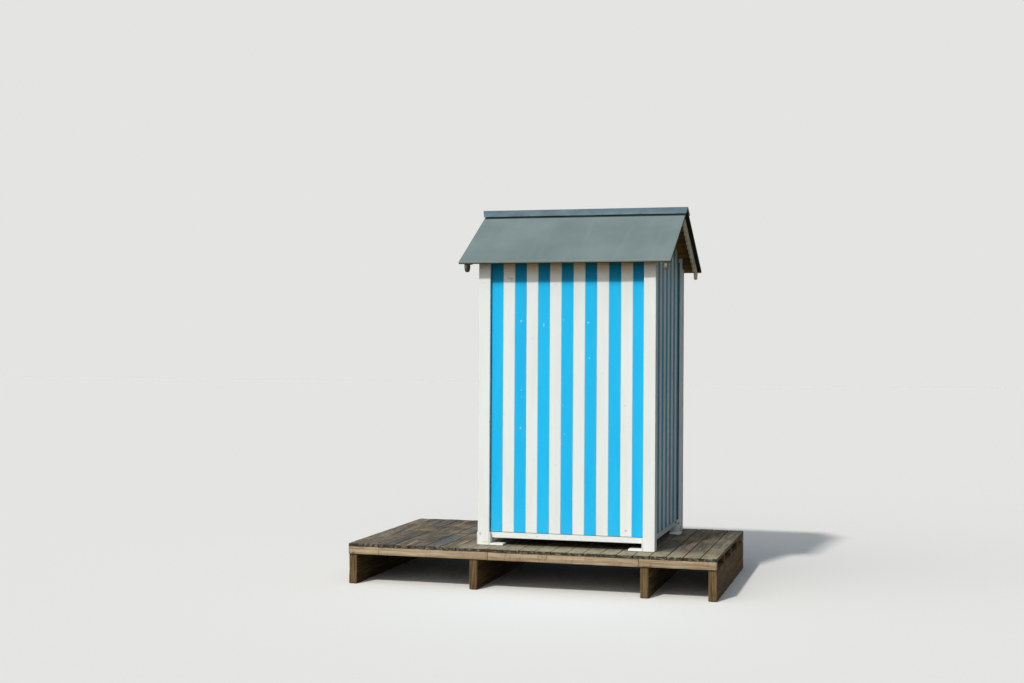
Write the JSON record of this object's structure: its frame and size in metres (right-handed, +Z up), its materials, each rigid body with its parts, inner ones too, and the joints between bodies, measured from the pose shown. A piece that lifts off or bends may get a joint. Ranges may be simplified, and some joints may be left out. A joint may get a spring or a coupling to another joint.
{
  "type": "beach hut",
  "caption": "Small square beach changing hut with striped board walls, a gabled roof with scalloped bargeboards and a raised bay of timber deck.",
  "frame": {"origin": "on the ground under the middle of the deck bay", "axes": "+Z up, +X along the eaves from the door gable to the plain gable, +Y from the front eaves wall to the back one"},
  "size_m": [2.792, 1.687, 2.8943],
  "materials": {
    "sleeper_timber": "rough sawn, weathered",
    "bearer_timber": "sawn, bleached by the sun",
    "deck_timber": "weathered grey",
    "white_paint": "satin white paint",
    "striped_boards": "satin paint in blue and white stripes, one board each",
    "frame_timber": "sawn, stained brown",
    "roof_timber": "sawn, stained brown below, bleached on the edge",
    "roof_covering": "matt grey-green roofing sheet",
    "ridge_metal": "dull blue-grey folded sheet",
    "barge_timber": "pale weathered wood",
    "hinge_steel": "galvanised"
  },
  "bodies": {
    "root": {"sleeper_1": "sleeper_timber", "sleeper_2": "sleeper_timber", "sleeper_3": "sleeper_timber", "sleeper_4": "sleeper_timber", "bearer_front": "bearer_timber", "middle_bearers": "sleeper_timber", "bearer_back": "bearer_timber", "deck_boards": "deck_timber", "post_front_left": "white_paint", "post_front_right": "white_paint", "post_back_left": "white_paint", "post_back_right": "white_paint", "foot_cleats": "white_paint", "base_rail_front": "white_paint", "base_rail_back": "white_paint", "base_rail_left": "white_paint", "base_rail_right": "white_paint", "floor_joists": "frame_timber", "floor_boards": "frame_timber", "front_wall": "striped_boards", "back_wall": "striped_boards", "right_gable_wall": "striped_boards", "left_wall_beside_latch": "striped_boards", "left_wall_beside_hinges": "striped_boards", "left_wall_over_door": "striped_boards", "door_jamb_latch_side": "white_paint", "door_jamb_hinge_side": "white_paint", "door_head": "white_paint", "door_leaf": "striped_boards", "door_hinges": "hinge_steel", "door_latch": "hinge_steel", "wall_plate_front": "frame_timber", "wall_plate_back": "frame_timber", "ridge_beam": "frame_timber", "roof_boards_front": "roof_timber", "roof_boards_back": "roof_timber", "roof_covering_front": "roof_covering", "roof_covering_back": "roof_covering", "ridge_battens": "frame_timber", "ridge_cap": "ridge_metal", "bargeboard_left_front": "barge_timber", "bargeboard_left_back": "barge_timber", "bargeboard_right_front": "barge_timber", "bargeboard_right_back": "barge_timber"}
  },
  "joints": []
}
